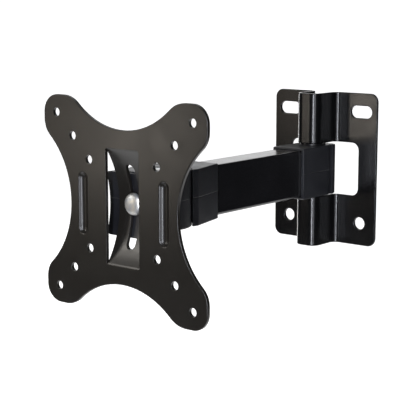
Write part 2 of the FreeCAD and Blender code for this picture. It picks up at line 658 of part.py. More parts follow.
def screen_plate():
    half_t = PLATE_SHEET / 2
    front = SCREEN_Y - half_t
    plate = Part.Face(plate_outline()).extrude(V(0, PLATE_SHEET, 0))
    plate.translate(V(0, front, -PLATE_DROP))
    rims = [edge for edge in plate.Edges if edge.BoundBox.YMax < front + 1e-3]
    plate = plate.makeFillet(SHEET_RIM, rims)
    opening = rounded_plate_y(BRIDGE_WIDTH / 2 + SHEAR_GAP, -OPENING_HALF - PLATE_DROP,
                              OPENING_HALF - PLATE_DROP, front - 1, front + PLATE_SHEET + 1, OPENING_CORNER)
    plate = plate.cut(opening).fuse(bridge())
    groove_r = (RIB_WIDTH ** 2 / 4 + RIB_DEPTH ** 2) / (2 * RIB_DEPTH)
    groove_y = front + RIB_DEPTH - groove_r
    run = RIB_LENGTH - RIB_WIDTH
    for side in (-1, 1):
        x = side * RIB_X
        swell = pill(groove_r + RIB_BACK * PLATE_SHEET, x, groove_y, -PLATE_DROP, run)
        behind = box(x - 12, x + 12, SCREEN_Y, SCREEN_Y + 12, -60, 60)
        plate = plate.fuse(swell.common(behind)).cut(pill(groove_r, x, groove_y, -PLATE_DROP, run))
    rib_rims = []
    for edge in plate.Edges:
        size = edge.BoundBox
        flat = abs(size.YMin - front) < 1e-3 and abs(size.YMax - front) < 1e-3
        if flat and abs(abs(size.Center.x) - RIB_X) < RIB_WIDTH and size.ZLength < RIB_LENGTH:
            rib_rims.append(edge)
    plate = plate.makeFillet(RIB_RIM, rib_rims)
    for pitch in VESA_PITCHES:
        for x in (-pitch / 2, pitch / 2):
            for z in (-pitch / 2, pitch / 2):
                hole = rod_y(VESA_HOLE / 2, x, z - PLATE_DROP, front - 1, front + PLATE_SHEET + 1)
                plate = plate.cut(hole)
    return clean(plate)


# ---------------------------------------------------------------- all the pieces

def pieces():
    """Every node of the assembly, by name."""
    named = {}
    named["wall_plate"] = wall_plate()
    named["upper_pivot_sleeve"] = pivot_sleeve(1)
    named["lower_pivot_sleeve"] = pivot_sleeve(-1)
    bolt_end = -(SLEEVE_TOP + WASHER_THICK + NYLOC_HEIGHT + BOLT_PAST_NYLOC)
    named["wall_pivot_bolt"] = hex_bolt(WALL_PIVOT_Y, SLEEVE_TOP + WASHER_THICK, bolt_end)
    named["wall_pivot_nut"] = nyloc_nut(WALL_PIVOT_Y, -SLEEVE_TOP - WASHER_THICK)
    named["wall_pivot_washers"] = washer_pair(WALL_PIVOT_Y, SLEEVE_TOP, LOOP_INSIDE - 2 * WELD_GAP)

    named["arm_tube"] = arm_tube()
    named["knuckle_bush"] = knuckle_bush()
    tube_top = TUBE_HEIGHT / 2
    proud = KNUCKLE_HALF + LINER_PROUD - tube_top
    named["knuckle_liner_upper"] = flanged_liner(WALL_PIVOT_Y, 1, tube_top, LINER_GAP, proud, LINER_FLANGE)
    named["knuckle_liner_lower"] = flanged_liner(WALL_PIVOT_Y, -1, tube_top, LINER_GAP, proud, LINER_FLANGE)
    cap = wall_cap()
    named["wall_cap_upper"] = halve(cap, 1, TIGHT_SPLIT)
    named["wall_cap_lower"] = halve(cap, -1, TIGHT_SPLIT)
    cap = front_cap()
    named["front_cap_upper"] = halve(cap, 1, SPLIT_LINE)
    named["front_cap_lower"] = halve(cap, -1, SPLIT_LINE)
    named["knuckle_tongue"] = knuckle_tongue()
    eye_top = TONGUE_HEIGHT / 2
    rim = TONGUE_EYE - 2 * EYE_RIM
    named["tongue_liner_upper"] = flanged_liner(HEAD_PIVOT_Y, 1, eye_top, LINER_GAP, TONGUE_FLANGE, rim)
    named["tongue_liner_lower"] = flanged_liner(HEAD_PIVOT_Y, -1, eye_top, LINER_GAP, TONGUE_FLANGE, rim)

    head = head_body()
    named["head_upper"] = halve(head, 1, TIGHT_SPLIT)
    named["head_lower"] = halve(head, -1, TIGHT_SPLIT)
    bolt_end = -(HEAD_SEAT + WASHER_THICK + NYLOC_HEIGHT + BOLT_PAST_NYLOC)
    named["head_pivot_bolt"] = hex_bolt(HEAD_PIVOT_Y, HEAD_SEAT + WASHER_THICK, bolt_end)
    named["head_pivot_nut"] = nyloc_nut(HEAD_PIVOT_Y, -HEAD_SEAT - WASHER_THICK)
    named["head_pivot_washers"] = washer_pair(HEAD_PIVOT_Y, HEAD_SEAT, HEAD_WASHER)
    named["tilt_bolt"] = tilt_bolt()
    named["tilt_washer"] = tilt_washer()
    named["tilt_nut"] = tilt_nut()

    named["screen_plate"] = screen_plate()
    return named


def main():
    os.makedirs("parts", exist_ok=True)
    for name, shape in pieces().items():
        shape.exportStep(os.path.join("parts", name + ".step"))
        size = shape.BoundBox
        print(f"{name:22s} {len(shape.Solids)} solid(s)  valid {shape.isValid()}"
              f"  {size.XLength:6.1f} x {size.YLength:6.1f} x {size.ZLength:6.1f} mm"
              f"  volume {shape.Volume / 1000:7.2f} cm3")
    print(f"head pivot y {HEAD_PIVOT_Y:.2f}  tilt axis y {TILT_AXIS_Y:.2f}  screen plate y {SCREEN_Y:.2f}")


main()
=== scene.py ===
# %% [markdown]
# # A wall mount with one swinging arm
#
# The mount is a formed wall plate, a painted tube arm with moulded caps, a head that
# turns, and a pressed plate that carries the screen.  The measured model comes first.
# It is loaded as it is, because the looks are built on it and never move it.

# %% Load the measured model
import json
import math
import bmesh
import bpy
from mathutils import Matrix, Vector


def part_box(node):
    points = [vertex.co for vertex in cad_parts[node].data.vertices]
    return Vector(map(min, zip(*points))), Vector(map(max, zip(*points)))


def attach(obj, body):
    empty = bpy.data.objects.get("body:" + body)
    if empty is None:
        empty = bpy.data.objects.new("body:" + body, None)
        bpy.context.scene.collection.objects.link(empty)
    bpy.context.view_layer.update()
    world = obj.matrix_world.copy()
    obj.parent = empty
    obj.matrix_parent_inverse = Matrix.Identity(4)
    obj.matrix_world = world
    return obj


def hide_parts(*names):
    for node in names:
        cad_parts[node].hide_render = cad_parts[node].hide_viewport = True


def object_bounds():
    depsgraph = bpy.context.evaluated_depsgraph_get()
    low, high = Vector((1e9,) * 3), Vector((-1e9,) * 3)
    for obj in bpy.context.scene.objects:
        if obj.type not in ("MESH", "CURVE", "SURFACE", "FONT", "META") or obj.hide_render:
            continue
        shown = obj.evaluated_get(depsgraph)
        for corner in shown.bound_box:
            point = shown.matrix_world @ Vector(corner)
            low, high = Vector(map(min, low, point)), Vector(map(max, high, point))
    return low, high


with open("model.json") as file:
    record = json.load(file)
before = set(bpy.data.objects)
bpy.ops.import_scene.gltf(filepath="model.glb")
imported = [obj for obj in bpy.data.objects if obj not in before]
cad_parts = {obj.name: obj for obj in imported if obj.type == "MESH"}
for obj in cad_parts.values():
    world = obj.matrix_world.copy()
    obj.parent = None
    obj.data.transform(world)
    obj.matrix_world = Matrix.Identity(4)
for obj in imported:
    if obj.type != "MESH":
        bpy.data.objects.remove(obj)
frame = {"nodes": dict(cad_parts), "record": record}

MM = 0.001
cad_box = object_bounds()
nodes = frame["nodes"]
print("pieces in the model:", len(nodes))

# %% [markdown]
# ## Camera
#
# The mount is seen from its right and a little above, through a long lens, as a
# product picture is taken.  A long lens keeps the plate and the wall plate nearly the
# same size.  The camera's place was worked out from its turn, its height and its
# distance to the middle of the screen plate's sheet; here it is given as one point.

# %% Camera
AZIMUTH = math.radians(39.33)
ELEVATION = math.radians(9.60)
LENS_MM = 108.44
CAMERA_PLACE = Vector((455.3, -682.8, 111.8)) * MM

towards_camera = Vector((math.sin(AZIMUTH) * math.cos(ELEVATION),
                         -math.cos(AZIMUTH) * math.cos(ELEVATION),
                         math.sin(ELEVATION)))
camera_data = bpy.data.cameras.new("studio_camera")
camera_data.lens = LENS_MM
camera_data.sensor_width = 36.0
camera_data.clip_start = 0.01
camera_data.clip_end = 50.0
camera = bpy.data.objects.new("studio_camera", camera_data)
camera.location = CAMERA_PLACE
camera.rotation_mode = "QUATERNION"
camera.rotation_quaternion = (-towards_camera).to_track_quat("-Z", "Y")
bpy.context.collection.objects.link(camera)
bpy.context.scene.camera = camera
print("camera at", [round(value, 3) for value in camera.location])

# %% [markdown]
# ## Colours and nodes
#
# Every finish below is a small tree of shader nodes.  Two helpers are enough for all of
# them: one turns a screen colour into the linear values that a shader works in, and
# one adds a node, sets its inputs and links it.  A key may be an input's name, an
# input's number where two inputs share a name, or one of the node's own settings.

# %% Helpers for colours and nodes
def linear(hex_colour):
    """A screen colour such as '#202020' turned into the linear values that shaders use."""
    values = []
    for start in (1, 3, 5):
        part = int(hex_colour[start:start + 2], 16) / 255
        values.append(part / 12.92 if part <= 0.04045 else ((part + 0.055) / 1.055) ** 2.4)
    return (*values, 1.0)


def add_node(tree, kind, settings=None, links=None):
    """Add one shader node, set its values by input or setting name, and link its inputs."""
    node = tree.nodes.new(kind)
    for name, value in (settings or {}).items():
        if isinstance(name, int) or name in node.inputs:
            node.inputs[name].default_value = value
        else:
            setattr(node, name, value)
    for name, source in (links or {}).items():
        tree.links.new(source, node.inputs[name])
    return node


def new_material(name):
    """An empty node material and its node tree."""
    material = bpy.data.materials.new(name)
    material.use_nodes = True
    material.node_tree.nodes.clear()
    return material, material.node_tree


print("grey of a black coat, linear:", round(linear("#141414")[0], 4))

# %% [markdown]
# ## Studio
#
# The mount hangs in a white studio.  A pale floor runs back and curves up behind the
# object, so there is no corner and no horizon line.  It is only as wide as the picture
# needs: black paint shows almost nothing of its own colour, so the eye reads it by what
# it mirrors, and a studio that is dark at the sides keeps the flat faces deep.  The
# paper glows a little of its own, as paper does when it is lit from behind.

# %% Pale floor that curves up behind
FLOOR_LEVEL = cad_box[0].z - 0.16
FLOOR_FRONT = -0.20
SWEEP_START = 0.9
SWEEP_RADIUS = 0.9
SWEEP_TOP = 2.6
SWEEP_WIDTH = 1.0
SWEEP_STEPS = 16
back_direction = Vector((-math.sin(AZIMUTH), math.cos(AZIMUTH), 0))
side_direction = Vector((math.cos(AZIMUTH), math.sin(AZIMUTH), 0))
profile = [(FLOOR_FRONT, FLOOR_LEVEL)]
for step in range(SWEEP_STEPS + 1):
    turn = math.radians(90 * step / SWEEP_STEPS)
    profile.append((SWEEP_START + SWEEP_RADIUS * math.sin(turn),
                    FLOOR_LEVEL + SWEEP_RADIUS * (1 - math.cos(turn))))
profile.append((SWEEP_START + SWEEP_RADIUS, SWEEP_TOP))
sweep_mesh = bmesh.new()
rows = []
for along, height in profile:
    row = []
    for side in (-SWEEP_WIDTH / 2, SWEEP_WIDTH / 2):
        place = back_direction * along + side_direction * side + Vector((0, 0, height))
        row.append(sweep_mesh.verts.new(place))
    rows.append(row)
for low, high in zip(rows, rows[1:]):
    sweep_mesh.faces.new((low[0], low[1], high[1], high[0]))
floor_data = bpy.data.meshes.new("pale_floor")
sweep_mesh.to_mesh(floor_data)
sweep_mesh.free()
floor_data.shade_smooth()
pale_floor = bpy.data.objects.new("pale_floor", floor_data)
bpy.context.collection.objects.link(pale_floor)

paper, tree = new_material("white_studio_paper")
where = add_node(tree, "ShaderNodeTexCoord")
grain = add_node(tree, "ShaderNodeTexNoise", {"Scale": 900.0, "Detail": 4.0},
                 {"Vector": where.outputs["Object"]})
bump = add_node(tree, "ShaderNodeBump", {"Strength": 0.05, "Distance": 0.0002},
                {"Height": grain.outputs["Fac"]})
shader = add_node(tree, "ShaderNodeBsdfPrincipled",
                  {"Base Color": linear("#f4f4f3"), "Roughness": 0.9,
                   "Emission Color": linear("#ffffff"), "Emission Strength": 0.78},
                  {"Normal": bump.outputs["Normal"]})
add_node(tree, "ShaderNodeOutputMaterial", links={"Surface": shader.outputs["BSDF"]})
floor_data.materials.append(paper)
print("floor at", round(FLOOR_LEVEL, 3))

# %% [markdown]
# ## Lamps
#
# Soft boxes stand where a photographer puts them.  Flat black faces show only what they
# mirror, so two small keys at the left stand where the screen plate and the wall plate
# mirror them, and a third box above lights the lower end of the curved bridge.  The
# upright strips draw the bright lines along the bends of the wall plate, and one box
# overhead keeps the tops from going black.  The room is white to look at and dark to
# mirror.

# %% Soft boxes and the room
def soft_lamp(name, place, aim, size, power, tint="#ffffff"):
    """A rectangular soft box that faces a point."""
    data = bpy.data.lights.new(name, "AREA")
    data.shape = "RECTANGLE"
    data.size = size[0]
    data.size_y = size[1]
    data.energy = power
    data.color = linear(tint)[:3]
    lamp = bpy.data.objects.new(name, data)
    lamp.location = place
    lamp.rotation_mode = "QUATERNION"
    lamp.rotation_quaternion = (Vector(aim) - Vector(place)).to_track_quat("-Z", "Y")
    bpy.context.collection.objects.link(lamp)
    return lamp


plate_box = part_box("screen_plate")
wall_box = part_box("wall_plate")
plate_middle = (plate_box[0] + plate_box[1]) / 2
wall_middle = (wall_box[0] + wall_box[1]) / 2
soft_lamp("left_key", (-0.288, -0.537, -0.010), plate_middle, (0.045, 0.08), 0.11, "#fff5e8")
soft_lamp("far_left_key", (-0.405, -0.537, 0.030), plate_middle, (0.07, 0.18), 0.045, "#fff0dc")
soft_lamp("upper_box", (-0.54, -0.69, 0.30), plate_middle, (0.25, 0.18), 1.1, "#fffaf2")
soft_lamp("front_fill", (0.80, -1.15, 0.40), plate_middle, (0.5, 0.7), 1.8)
soft_lamp("roof_box", (0.0, -0.1, 1.1), wall_middle, (0.8, 0.8), 4.0)
soft_lamp("right_strip", (0.50, -1.05, 0.10), wall_middle, (0.06, 1.0), 11.0, "#f2f5ff")
soft_lamp("right_side_strip", (0.78, -0.76, 0.10), wall_middle, (0.14, 1.0), 2.5, "#f2f5ff")
soft_lamp("left_strip", (-1.0, 0.28, 0.10), wall_middle, (0.10, 1.0), 4.0)
soft_lamp("back_wash", (-0.2, 0.4, 1.3), (-0.6, 1.0, 0.2), (1.2, 0.6), 1.0)

room = bpy.data.worlds.new("white_room")
bpy.context.scene.world = room
room.use_nodes = True
room_tree = room.node_tree
room_tree.nodes.clear()
path = add_node(room_tree, "ShaderNodeLightPath")
seen = add_node(room_tree, "ShaderNodeBackground", {"Color": linear("#ffffff"), "Strength": 1.0})
felt = add_node(room_tree, "ShaderNodeBackground", {"Color": linear("#e8ecf4"), "Strength": 0.02})
both = add_node(room_tree, "ShaderNodeMixShader", links={0: path.outputs["Is Camera Ray"],
                                                         1: felt.outputs["Background"],
                                                         2: seen.outputs["Background"]})
add_node(room_tree, "ShaderNodeOutputWorld", links={"Surface": both.outputs["Shader"]})
bpy.context.scene.view_settings.view_transform = "Standard"

# %% [markdown]
# ## Powder coat on sheet steel
#
# The wall plate and the screen plate are cut and pressed from 2 mm steel, then sprayed
# with polyester powder and baked.  The powder melts and flows, but not quite flat: it
# leaves an orange peel about 2 mm across and a few thousandths of a millimetre high, and
# a finer grain over it.  It also pulls back from sharp edges, so the rims look round
# and catch the light.  The round rim is drawn with a bevel shader, which bends the
# shading near an edge without touching the measured mesh.
#
# One function makes both coats, because only their gloss and their blacks differ.

# %% Powder coat
def powder_coat(name, deep, worn, gloss, peel_mm, peel_depth_mm, grain_mm, grain_depth_mm,
                rim_mm):
    """Baked powder: orange peel, fine grain, soft rims and slightly rubbed edges."""
    material, tree = new_material(name)
    where = add_node(tree, "ShaderNodeTexCoord")
    facing = add_node(tree, "ShaderNodeNewGeometry")
    rim = add_node(tree, "ShaderNodeBevel", {"Radius": rim_mm * MM, "samples": 6})
    level = add_node(tree, "ShaderNodeVectorMath", {"operation": "DOT_PRODUCT"},
                     {0: rim.outputs["Normal"], 1: facing.outputs["Normal"]})
    cloud = add_node(tree, "ShaderNodeTexNoise", {"Scale": 1 / (14 * MM), "Detail": 5.0},
                     {"Vector": where.outputs["Object"]})
    peel = add_node(tree, "ShaderNodeTexNoise", {"Scale": 1 / (peel_mm * MM), "Detail": 2.0},
                    {"Vector": where.outputs["Object"]})
    grain = add_node(tree, "ShaderNodeTexNoise", {"Scale": 1 / (grain_mm * MM), "Detail": 3.0},
                     {"Vector": where.outputs["Object"]})
    edge = add_node(tree, "ShaderNodeMapRange", {1: 0.995, 2: 0.80, 3: 0.0, 4: 1.0},
                    {0: level.outputs["Value"]})
    rubbed = add_node(tree, "ShaderNodeMath", {"operation": "MULTIPLY"},
                      {0: edge.outputs["Result"], 1: cloud.outputs["Fac"]})
    colour = add_node(tree, "ShaderNodeValToRGB", links={"Fac": rubbed.outputs["Value"]})
    colour.color_ramp.elements[0].color = linear(deep)
    colour.color_ramp.elements[1].color = linear(worn)
    shine = add_node(tree, "ShaderNodeMapRange", {1: 0.3, 2: 0.7, 3: gloss[0], 4: gloss[1]},
                     {0: cloud.outputs["Fac"]})
    waves = add_node(tree, "ShaderNodeBump", {"Strength": 0.5, "Distance": peel_depth_mm * MM},
                     {"Height": peel.outputs["Fac"], "Normal": rim.outputs["Normal"]})
    specks = add_node(tree, "ShaderNodeBump", {"Strength": 0.35, "Distance": grain_depth_mm * MM},
                      {"Height": grain.outputs["Fac"], "Normal": waves.outputs["Normal"]})
    shader = add_node(tree, "ShaderNodeBsdfPrincipled", {"IOR": 1.5},
                      {"Base Color": colour.outputs["Color"], "Roughness": shine.outputs["Result"],
                       "Normal": specks.outputs["Normal"]})
    add_node(tree, "ShaderNodeOutputMaterial", links={"Surface": shader.outputs["BSDF"]})
    return material


semi_gloss_powder = powder_coat("semi_gloss_black_powder_coat", "#070708", "#262523",
                                (0.20, 0.25), 2.2, 0.004, 0.30, 0.0008, 0.15)
satin_powder = powder_coat("satin_black_powder_coat", "#1a1815", "#35322d",
                           (0.29, 0.34), 1.8, 0.012, 0.25, 0.004, 0.35)
print("two powder coats made")

# %% [markdown]
# ## Gloss enamel on the drawn tube
#
# The arm is a welded and drawn box tube with a thin gloss enamel.  Drawing leaves very
# faint lines along the tube, about half a millimetre apart, and the enamel follows
# them.  The noise is squeezed across the tube and stretched along it, which makes lines.

# %% Gloss enamel
def drawn_enamel(name, deep, gloss, line_mm, line_length_mm):
    """Thin gloss paint over a drawn tube that runs along Y."""
    material, tree = new_material(name)
    where = add_node(tree, "ShaderNodeTexCoord")
    squeeze = add_node(tree, "ShaderNodeMapping",
                       {"Scale": (1 / (line_mm * MM), 1 / (line_length_mm * MM), 1 / (line_mm * MM))},
                       {"Vector": where.outputs["Object"]})
    lines = add_node(tree, "ShaderNodeTexNoise", {"Scale": 1.0, "Detail": 2.0},
                     {"Vector": squeeze.outputs["Vector"]})
    smear = add_node(tree, "ShaderNodeTexNoise", {"Scale": 1 / (20 * MM), "Detail": 4.0},
                     {"Vector": where.outputs["Object"]})
    colour = add_node(tree, "ShaderNodeValToRGB", links={"Fac": smear.outputs["Fac"]})
    colour.color_ramp.elements[0].color = linear(deep)
    colour.color_ramp.elements[1].color = linear("#18181a")
    shine = add_node(tree, "ShaderNodeMapRange", {1: 0.3, 2: 0.7, 3: gloss[0], 4: gloss[1]},
                     {0: smear.outputs["Fac"]})
    rim = add_node(tree, "ShaderNodeBevel", {"Radius": 0.4 * MM, "samples": 6})
    bump = add_node(tree, "ShaderNodeBump", {"Strength": 0.25, "Distance": 0.006 * MM},
                    {"Height": lines.outputs["Fac"], "Normal": rim.outputs["Normal"]})
    shader = add_node(tree, "ShaderNodeBsdfPrincipled", {"IOR": 1.52},
                      {"Base Color": colour.outputs["Color"], "Roughness": shine.outputs["Result"],
                       "Normal": bump.outputs["Normal"]})
    add_node(tree, "ShaderNodeOutputMaterial", links={"Surface": shader.outputs["BSDF"]})
    return material


tube_enamel = drawn_enamel("gloss_black_enamel", "#101011", (0.10, 0.18), 0.5, 60.0)
print("tube enamel made")

# %% [markdown]
# ## Moulded nylon
#
# The end caps and the head are moulded in black nylon.  The steel mould was finished by
# spark erosion, which leaves a fine matt grain of about 0.3 mm, and the black has a
# touch of blue.  The flanged liners are black acetal from a polished mould: the same
# black with less blue, a finer grain and a little more shine.

# %% Black nylon and black acetal
def moulded_plastic(name, dark, light, gloss, grain_mm, grain_depth_mm):
    """Moulded plastic with the grain of its steel mould."""
    material, tree = new_material(name)
    where = add_node(tree, "ShaderNodeTexCoord")
    cloud = add_node(tree, "ShaderNodeTexNoise", {"Scale": 1 / (9 * MM), "Detail": 4.0},
                     {"Vector": where.outputs["Object"]})
    pits = add_node(tree, "ShaderNodeTexVoronoi", {"Scale": 1 / (grain_mm * MM)},
                    {"Vector": where.outputs["Object"]})
    colour = add_node(tree, "ShaderNodeValToRGB", links={"Fac": cloud.outputs["Fac"]})
    colour.color_ramp.elements[0].color = linear(dark)
    colour.color_ramp.elements[1].color = linear(light)
    shine = add_node(tree, "ShaderNodeMapRange", {1: 0.3, 2: 0.7, 3: gloss[0], 4: gloss[1]},
                     {0: cloud.outputs["Fac"]})
    rim = add_node(tree, "ShaderNodeBevel", {"Radius": 0.5 * MM, "samples": 6})
    bump = add_node(tree, "ShaderNodeBump", {"Strength": 0.4, "Distance": grain_depth_mm * MM},
                    {"Height": pits.outputs["Distance"], "Normal": rim.outputs["Normal"]})
    shader = add_node(tree, "ShaderNodeBsdfPrincipled",
                      {"IOR": 1.53},
                      {"Base Color": colour.outputs["Color"], "Roughness": shine.outputs["Result"],
                       "Normal": bump.outputs["Normal"]})
    add_node(tree, "ShaderNodeOutputMaterial", links={"Surface": shader.outputs["BSDF"]})
    return material


black_nylon = moulded_plastic("spark_grain_black_nylon", "#131418", "#1b1c21", (0.36, 0.44), 0.32, 0.02)
black_acetal = moulded_plastic("black_acetal", "#0c0c0d", "#141415", (0.24, 0.32), 0.25, 0.005)
print("two moulded plastics made")

# %% [markdown]
# ## Zinc plate
#
# Bolts, nuts and washers are cold formed steel with a bright zinc plate and a clear
# passivation.  That skin is thinner than a wave of light is long, so it goes a little
# blue in one place and straw in another.  Zinc is a metal, so its colour is the colour
# of its mirror, and the index of refraction stays as it is.

# %% Zinc plate
def zinc_plate(name):
    """Bright zinc on cold formed steel, with a thin coloured skin and handling marks."""
    material, tree = new_material(name)
    where = add_node(tree, "ShaderNodeTexCoord")
    skin = add_node(tree, "ShaderNodeTexNoise", {"Scale": 1 / (4 * MM), "Detail": 3.0},
                    {"Vector": where.outputs["Object"]})
    marks = add_node(tree, "ShaderNodeTexNoise", {"Scale": 1 / (0.5 * MM), "Detail": 5.0},
                     {"Vector": where.outputs["Object"]})
    colour = add_node(tree, "ShaderNodeValToRGB", links={"Fac": skin.outputs["Fac"]})
    colour.color_ramp.elements[0].position = 0.35
    colour.color_ramp.elements[0].color = linear("#cbd1d8")
    colour.color_ramp.elements[1].position = 0.65
    colour.color_ramp.elements[1].color = linear("#eeebe2")
    shine = add_node(tree, "ShaderNodeMapRange", {1: 0.3, 2: 0.7, 3: 0.40, 4: 0.52},
                     {0: marks.outputs["Fac"]})
    rim = add_node(tree, "ShaderNodeBevel", {"Radius": 0.25 * MM, "samples": 6})
    bump = add_node(tree, "ShaderNodeBump", {"Strength": 0.3, "Distance": 0.01 * MM},
                    {"Height": marks.outputs["Fac"], "Normal": rim.outputs["Normal"]})
    shader = add_node(tree, "ShaderNodeBsdfPrincipled", {"Metallic": 1.0},
                      {"Base Color": colour.outputs["Color"], "Roughness": shine.outputs["Result"],
                       "Normal": bump.outputs["Normal"]})
    add_node(tree, "ShaderNodeOutputMaterial", links={"Surface": shader.outputs["BSDF"]})
    return material


bright_zinc = zinc_plate("bright_zinc_plate")
print("zinc plate made")

# %% [markdown]
# ## Bare turned steel
#
# The bush and the tongue inside the arm are bare steel.  A lathe leaves fine rings on
# them, and a film of oil makes the grey a little uneven.  A wave pattern along the
# upright axis draws the rings as bump, so they move the light and not the colour.

# %% Turned steel
def turned_steel(name, ring_mm):
    """Bare steel off the lathe, with rings across the upright axis."""
    material, tree = new_material(name)
    where = add_node(tree, "ShaderNodeTexCoord")
    rings = add_node(tree, "ShaderNodeTexWave",
                     {"wave_type": "BANDS", "bands_direction": "Z", "Scale": 0.16 / (ring_mm * MM),
                      "Distortion": 0.4}, {"Vector": where.outputs["Object"]})
    oil = add_node(tree, "ShaderNodeTexNoise", {"Scale": 1 / (6 * MM), "Detail": 3.0},
                   {"Vector": where.outputs["Object"]})
    colour = add_node(tree, "ShaderNodeValToRGB", links={"Fac": oil.outputs["Fac"]})
    colour.color_ramp.elements[0].color = linear("#7d7a76")
    colour.color_ramp.elements[1].color = linear("#a3a19d")
    shine = add_node(tree, "ShaderNodeMapRange", {1: 0.3, 2: 0.7, 3: 0.28, 4: 0.42},
                     {0: oil.outputs["Fac"]})
    bump = add_node(tree, "ShaderNodeBump", {"Strength": 0.3, "Distance": 0.01 * MM},
                    {"Height": rings.outputs["Fac"]})
    shader = add_node(tree, "ShaderNodeBsdfPrincipled", {"Metallic": 1.0},
                      {"Base Color": colour.outputs["Color"], "Roughness": shine.outputs["Result"],
                       "Normal": bump.outputs["Normal"]})
    add_node(tree, "ShaderNodeOutputMaterial", links={"Surface": shader.outputs["BSDF"]})
    return material


lathe_steel = turned_steel("turned_bare_steel", 0.35)
print("turned steel made")

# %% [markdown]
# ## Finishes on the pieces
#
# The record says which finish each piece carries, so the list is read and not repeated.
# Only the material of a measured piece changes here, never its mesh or its place.

# %% Put each finish on the pieces that carry it
finishes = {"wall_sheet": semi_gloss_powder, "screen_sheet": satin_powder, "arm_tube_paint": tube_enamel,
            "cap_plastic": black_nylon, "liner_nylon": black_acetal, "bare_steel": lathe_steel,
            "zinc_steel": bright_zinc}
for part in frame["record"]["subparts"]:
    piece = nodes[part["node"]]
    piece.data.materials.clear()
    piece.data.materials.append(finishes[part["material_slot"]])
print("finishes given to", len(nodes), "pieces")

# %% [markdown]
# ## Threads, chamfered heads and locking rings
#
# A bolt is a turned shape with two changes: its head is trimmed to a hexagon, and its
# end has a helical groove.  So one function spins a profile about the upright axis, and
# a limit on the radius cuts the hexagon.  Where a cone and a hexagon cross, the limit
# leaves the curved chamfer that every real bolt head shows.  The thread is a groove
# whose depth depends on height and angle together.

# %% Spun shapes
def hexagon_limit(flats):
    """Greatest radius at each angle inside a hexagon with flats to +X and -X."""
    def limit(angle):
        turned = (angle + math.pi / 6) % (math.pi / 3) - math.pi / 6
        return flats / 2 / math.cos(turned)
    return limit


def thread_groove(pitch, depth, low, high):
    """Depth of a helical groove at an angle and height, fading in at its upper end."""
    def groove(angle, z):
        if not low <= z <= high:
            return 0.0
        phase = (z / pitch - angle / (2 * math.pi)) % 1.0
        fade = min(1.0, (high - z) / pitch)
        return depth * fade * (1 - min(1.0, abs(2 * phase - 1) * 1.15))
    return groove


def spun_piece(name, profile, sides, finish, place, limit=None, groove=None, loop=False, turn=None):
    """Spin (radius, z) points about Z; `loop` joins the last ring to the first."""
    mesh = bmesh.new()
    rings = []
    for radius, z in profile:
        if radius == 0:
            rings.append([mesh.verts.new((0, 0, z))])
            continue
        ring = []
        for step in range(sides):
            angle = 2 * math.pi * step / sides
            reach = min(radius, limit(angle)) if limit else radius
            reach -= groove(angle, z) if groove else 0.0
            ring.append(mesh.verts.new((reach * math.cos(angle), reach * math.sin(angle), z)))
        rings.append(ring)
    pairs = list(zip(rings, rings[1:]))
    if loop:
        pairs.append((rings[-1], rings[0]))
    for first, second in pairs:
        for step in range(sides):
            after = (step + 1) % sides
            corners = [first[step % len(first)], first[after % len(first)],
                       second[after % len(second)], second[step % len(second)]]
            mesh.faces.new(list(dict.fromkeys(corners)))
    bmesh.ops.recalc_face_normals(mesh, faces=mesh.faces)
    placing = Matrix.Translation(place) @ (turn or Matrix.Identity(4))
    bmesh.ops.transform(mesh, matrix=placing, verts=mesh.verts)
    data = bpy.data.meshes.new(name)
    mesh.to_mesh(data)
    mesh.free()
    data.shade_smooth()
    data.set_sharp_from_angle(angle=math.radians(32))
    data.materials.append(finish)
    piece = bpy.data.objects.new(name, data)
    bpy.context.collection.objects.link(piece)
    return piece


# %% [markdown]
# ### The two hexagon bolts
#
# Each pivot turns on an M6 bolt: 10 mm across the flats, a 4 mm head, a plain shank and
# a 1 mm pitch thread over the last 24 mm at most.  Their places and lengths are read from
# the measured model, so a change of size there moves them too.

# %% Hexagon bolts
M6_RADIUS = 3.0 * MM
M6_PITCH = 1.0 * MM
M6_DEPTH = 0.5 * MM
HEAD_HEIGHT = 4.0 * MM
THREAD_RUN = 24.0 * MM
THREAD_STEP = M6_PITCH / 8
RING_SIDES = 48
WASHER_FACE = 0.25 * MM           # low round land under the head
HEAD_CHAMFER = 0.9 * MM
HEAD_DISH = 0.15 * MM             # shallow hollow in the head's top
CONE_STEPS = 6


def threaded_end(low, high):
    """Profile points up a threaded shank from its chamfered end."""
    points = [(0, low), (M6_RADIUS - 0.9 * MM, low)]
    steps = int((high - low) / THREAD_STEP)
    for step in range(1, steps + 1):
        z = low + step * THREAD_STEP
        points.append((min(M6_RADIUS, M6_RADIUS - 0.8 * MM + (z - low)), z))
    return points


def hexagon_bolt(node, body):
    """A detailed bolt in place of the plain one, head up."""
    low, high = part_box(node)
    flats = high.x - low.x
    middle = (low + high) / 2
    seat = high.z - HEAD_HEIGHT
    thread_top = min(low.z + THREAD_RUN, seat - 2 * MM)
    profile = threaded_end(low.z, thread_top)
    profile += [(M6_RADIUS, seat), (0.47 * flats, seat), (0.47 * flats, seat + WASHER_FACE)]
    chamfer_start = high.z - HEAD_CHAMFER
    profile += [(flats, seat + WASHER_FACE), (flats, chamfer_start)]
    for step in range(CONE_STEPS + 1):
        share = step / CONE_STEPS
        profile.append((flats / 2 * (1.17 - 0.22 * share), chamfer_start + share * HEAD_CHAMFER))
    profile += [(0.40 * flats, high.z), (0.38 * flats, high.z - HEAD_DISH), (0, high.z - HEAD_DISH)]
    groove = thread_groove(M6_PITCH, M6_DEPTH, low.z, thread_top)
    piece = spun_piece(node + "_threaded", profile, 2 * RING_SIDES, bright_zinc,
                       Vector((middle.x, middle.y, 0)), hexagon_limit(flats), groove)
    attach(piece, body)
    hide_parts(node)
    print(node, "length", round((high.z - low.z) / MM, 1), "mm, faces", len(piece.data.polygons))


hexagon_bolt("wall_pivot_bolt", "wall_bracket")
hexagon_bolt("head_pivot_bolt", "swivel_head")

